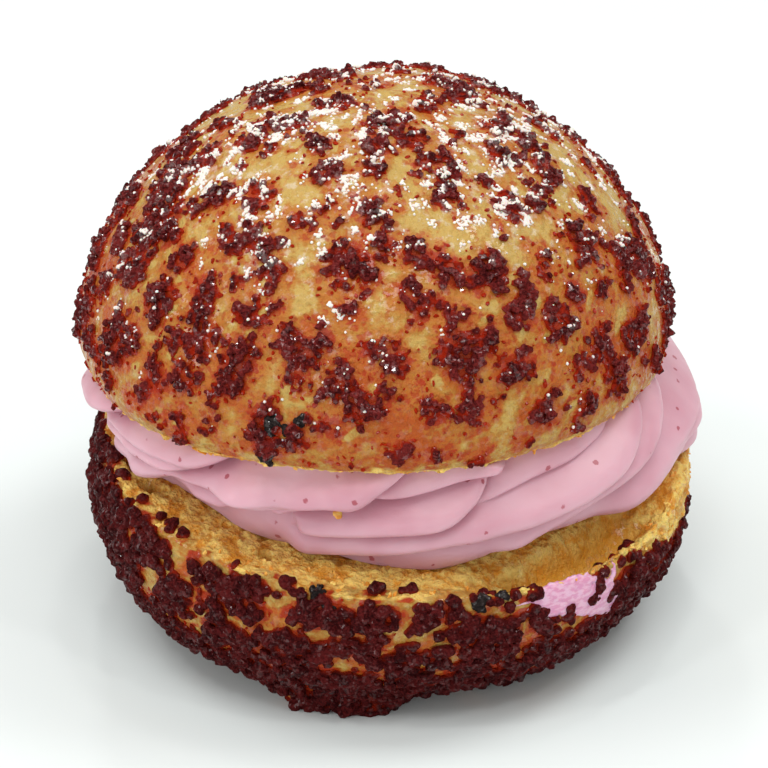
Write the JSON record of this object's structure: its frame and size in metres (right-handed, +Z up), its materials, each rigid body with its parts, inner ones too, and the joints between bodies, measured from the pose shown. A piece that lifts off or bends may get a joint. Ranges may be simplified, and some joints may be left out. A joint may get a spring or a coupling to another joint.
{
  "type": "cream puff",
  "caption": "Round cream puff: a crumble-topped choux bun cut across and filled with a thick piped layer of pink cream, dusted with icing sugar.",
  "frame": {"origin": "on the surface that the puff stands on, under the middle of its box", "axes": "+Z up out of the lid, -Y towards the front, where the cream shows most, and +X towards the torn side"},
  "size_m": [0.0812, 0.0792, 0.0726],
  "materials": {
    "bottom_crust": "baked choux pastry under dark red crumble, rough and a little greasy; the torn rim shows pale golden crumb",
    "berry_cream": "smooth whipped cream with tiny specks of fruit",
    "top_crust": "golden brown choux skin, slightly glossy, with islands of dark red crumble and icing sugar"
  },
  "bodies": {
    "root": {"bottom_bun": "bottom_crust", "cream_filling": "berry_cream", "top_bun": "top_crust"}
  },
  "joints": []
}
